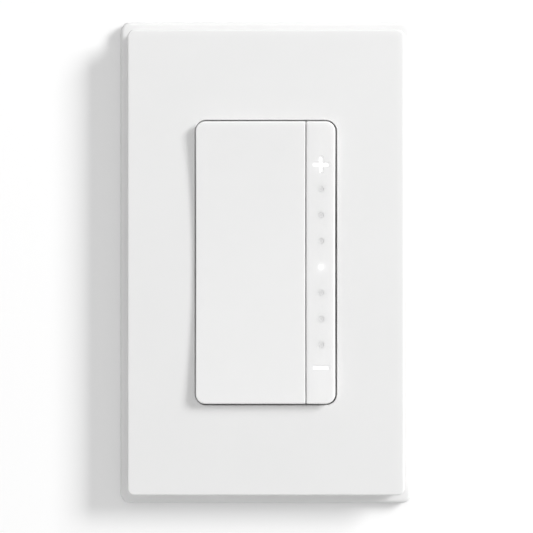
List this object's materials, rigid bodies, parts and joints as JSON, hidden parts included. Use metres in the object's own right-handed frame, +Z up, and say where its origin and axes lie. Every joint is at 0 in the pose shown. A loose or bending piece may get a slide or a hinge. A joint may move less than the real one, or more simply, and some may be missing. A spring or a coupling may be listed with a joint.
{
  "type": "dimmer switch",
  "caption": "Wall dimmer switch: screwless wallplate, wide dished on-off paddle and narrow rocking dimmer bar with plus and minus signs and a column of indicator lamps.",
  "frame": {"origin": "middle of the wallplate on the wall surface", "axes": "+X to the right as seen from the room, +Y into the wall, +Z up; the front faces -Y"},
  "size_m": [0.0692, 0.0387, 0.1142],
  "materials": {
    "plate_plastic": "white polycarbonate, fine satin gloss",
    "key_plastic": "white polycarbonate, satin gloss, moulded dished face",
    "guide_plastic": "translucent white light-guide plastic",
    "bezel_plastic": "white moulded plastic",
    "housing_plastic": "black heat-resistant plastic, fine spark texture",
    "barrier_plastic": "dark grey insulating plastic",
    "strap_metal": "stamped aluminium, bare",
    "zinc_steel": "zinc-plated steel screws",
    "white_screw": "white painted screw head",
    "brass": "bare brass",
    "green_screw": "green dyed ground screw",
    "fibre": "vulcanised fibre washer",
    "silicone": "grey silicone",
    "spring_steel": "spring steel strip",
    "board": "green solder-masked circuit board",
    "component_black": "black moulded electronic component",
    "switch_plastic": "black switch body",
    "plunger_plastic": "ivory switch plunger",
    "led": "white lamp package",
    "tin_shield": "tin-plated shield can",
    "ferrite": "dark ferrite",
    "copper_winding": "enamelled copper wire",
    "capacitor_sleeve": "dark shrink sleeve",
    "film_box": "yellow film capacitor box",
    "varistor_coat": "blue epoxy coat",
    "fuse_body": "brown moulded fuse",
    "transformer_tape": "amber tape on a ferrite core"
  },
  "bodies": {
    "device": {"bezel": "bezel_plastic", "board_connector": "component_black", "box_screw_lower": "zinc_steel", "box_screw_upper": "zinc_steel", "choke_core": "ferrite", "choke_winding": "copper_winding", "control_board": "board", "controller_chip": "component_black", "dimmer_dome_lower": "silicone", "dimmer_dome_upper": "silicone", "film_capacitor": "film_box", "ground_screw": "green_screw", "heat_spreader": "strap_metal", "housing_screw_1": "zinc_steel", "housing_screw_2": "zinc_steel", "housing_screw_3": "zinc_steel", "housing_screw_4": "zinc_steel", "indicator_leds": "led", "insulating_barrier": "barrier_plastic", "line_clamp": "brass", "line_contact": "brass", "line_screw": "brass", "load_clamp": "brass", "load_contact": "brass", "load_screw": "brass", "mounting_strap": "strap_metal", "neutral_clamp": "brass", "neutral_contact": "brass", "neutral_screw": "zinc_steel", "paddle_return_spring": "spring_steel", "paddle_switch_body": "switch_plastic", "plate_screw_lower": "white_screw", "plate_screw_upper": "white_screw", "power_board": "board", "power_capacitor": "capacitor_sleeve", "power_fuse": "fuse_body", "power_transistor_left": "component_black", "power_transistor_right": "component_black", "radio_board": "board", "radio_shield": "tin_shield", "rear_housing": "housing_plastic", "screw_retainer_lower": "fibre", "screw_retainer_upper": "fibre", "supply_transformer": "transformer_tape", "surge_varistor": "varistor_coat", "wallplate_cover": "plate_plastic", "wallplate_frame": "plate_plastic"},
    "paddle": {"on_off_paddle": "key_plastic"},
    "plunger": {"paddle_switch_plunger": "plunger_plastic"},
    "bar": {"dimmer_bar": "key_plastic", "light_guide": "guide_plastic"}
  },
  "joints": [
    {"name": "paddle_press", "type": "hinge", "parent": "device", "child": "paddle", "pos_m": [-0.0036, -0.00385, 0.03024], "axis": [1, 0, 0], "range_deg": [0, 0.8], "stiffness_Nm_per_rad": 1, "deforming": ["paddle_return_spring"]},
    {"name": "switch_plunger", "type": "slide", "parent": "device", "child": "plunger", "axis": [0, 1, 0], "range_m": [0, 0.00032]},
    {"name": "dimmer_rock", "type": "hinge", "parent": "device", "child": "bar", "pos_m": [0.0129, -0.00375, 0.002], "axis": [1, 0, 0], "range_deg": [-0.8, 0.8], "stiffness_Nm_per_rad": 0.1, "deforming": ["dimmer_dome_upper", "dimmer_dome_lower"]}
  ],
  "couplings": [
    {"joint": "switch_plunger", "follows": "paddle_press", "m_per_rad": 0.0221}
  ]
}
